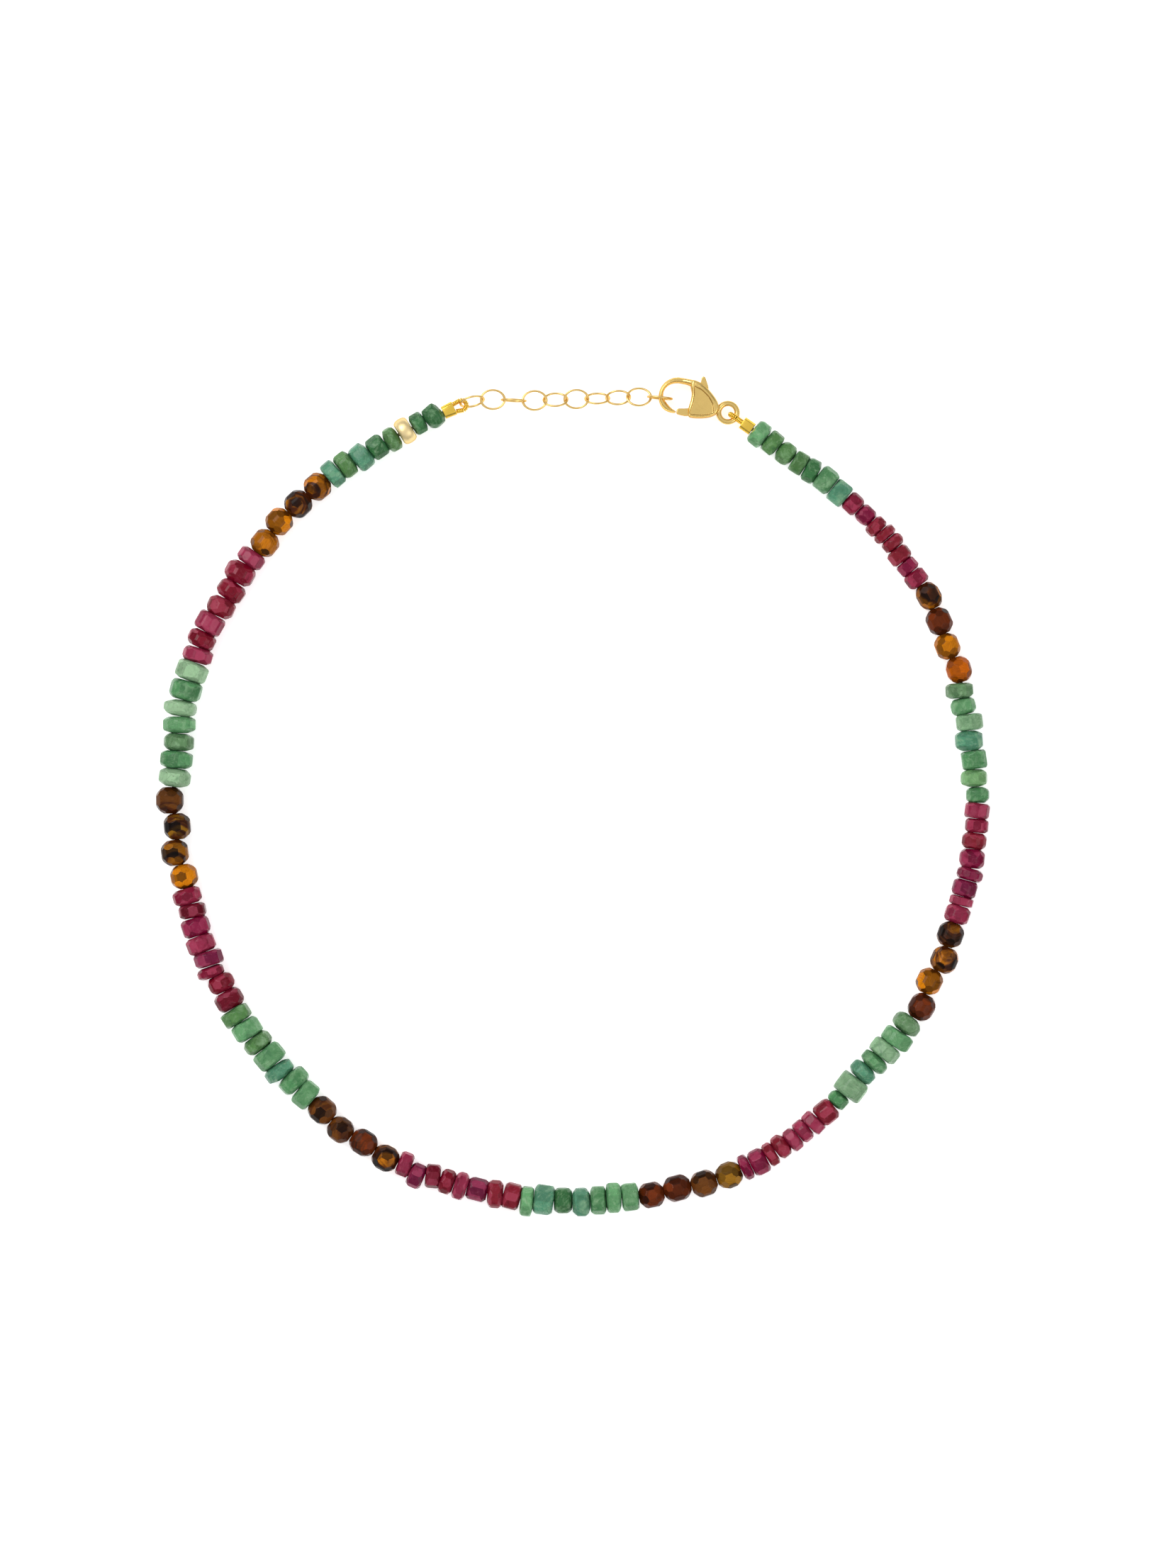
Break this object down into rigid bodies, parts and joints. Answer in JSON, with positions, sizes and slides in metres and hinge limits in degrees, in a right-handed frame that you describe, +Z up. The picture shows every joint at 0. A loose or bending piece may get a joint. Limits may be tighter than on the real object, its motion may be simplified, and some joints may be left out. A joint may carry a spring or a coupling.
{
  "type": "gemstone necklace",
  "caption": "Short necklace of emerald and ruby rondelles and round tiger's eye beads on a thread, with a gold cable chain and trigger clasp, lying flat.",
  "frame": {"origin": "middle of the necklace's outer box, on the surface that it lies on", "axes": "+Z up out of the surface, +Y towards the chain and the clasp, +X to the right as seen from above"},
  "size_m": [0.1176, 0.1186, 0.0045],
  "materials": {
    "emerald": "polished, milky and softly faceted, with pale patches, streaks and dark specks",
    "ruby": "polished facets with a frosty sheen, from brick red to magenta",
    "tiger_eye": "polished diamond facets over silky gold, brown and near black bands",
    "gold": "polished gold plate",
    "bright_gold": "bright yellow gold plate with soft press marks",
    "satin_gold": "satin gold plate"
  },
  "bodies": {
    "necklace": {"emerald_run_1": "emerald", "emerald_run_2": "emerald", "emerald_run_3": "emerald", "emerald_run_4": "emerald", "emerald_run_5": "emerald", "emerald_run_6": "emerald", "emerald_run_7": "emerald", "emerald_run_8": "emerald", "ruby_run_1": "ruby", "ruby_run_2": "ruby", "ruby_run_3": "ruby", "ruby_run_4": "ruby", "ruby_run_5": "ruby", "ruby_run_6": "ruby", "tiger_eye_1": "tiger_eye", "tiger_eye_2": "tiger_eye", "tiger_eye_3": "tiger_eye", "tiger_eye_4": "tiger_eye", "tiger_eye_5": "tiger_eye", "tiger_eye_6": "tiger_eye", "tiger_eye_7": "tiger_eye", "tiger_eye_8": "tiger_eye", "tiger_eye_9": "tiger_eye", "tiger_eye_10": "tiger_eye", "tiger_eye_11": "tiger_eye", "tiger_eye_12": "tiger_eye", "tiger_eye_13": "tiger_eye", "tiger_eye_14": "tiger_eye", "tiger_eye_15": "tiger_eye", "tiger_eye_16": "tiger_eye", "tiger_eye_17": "tiger_eye", "tiger_eye_18": "tiger_eye", "tiger_eye_19": "tiger_eye", "tiger_eye_20": "tiger_eye", "tiger_eye_21": "tiger_eye", "tiger_eye_22": "tiger_eye", "tiger_eye_23": "tiger_eye", "tiger_eye_24": "tiger_eye", "gold_roundel": "satin_gold", "chain_link_1": "gold", "chain_link_2": "gold", "chain_link_3": "gold", "chain_link_4": "gold", "chain_link_5": "gold", "chain_link_6": "gold", "chain_link_7": "gold", "chain_link_8": "gold", "chain_link_9": "gold", "chain_link_10": "gold", "clasp_body": "gold", "crimp_right": "bright_gold", "crimp_left": "bright_gold", "guard_right": "bright_gold", "guard_left": "bright_gold"},
    "trigger": {"clasp_lever": "gold"}
  },
  "joints": [
    {"name": "clasp_trigger", "type": "hinge", "parent": "necklace", "child": "trigger", "pos_m": [0.01781, 0.05492, 0.0015], "axis": [0, 0, -1], "range_deg": [0, 28], "stiffness_Nm_per_rad": 0.002}
  ]
}
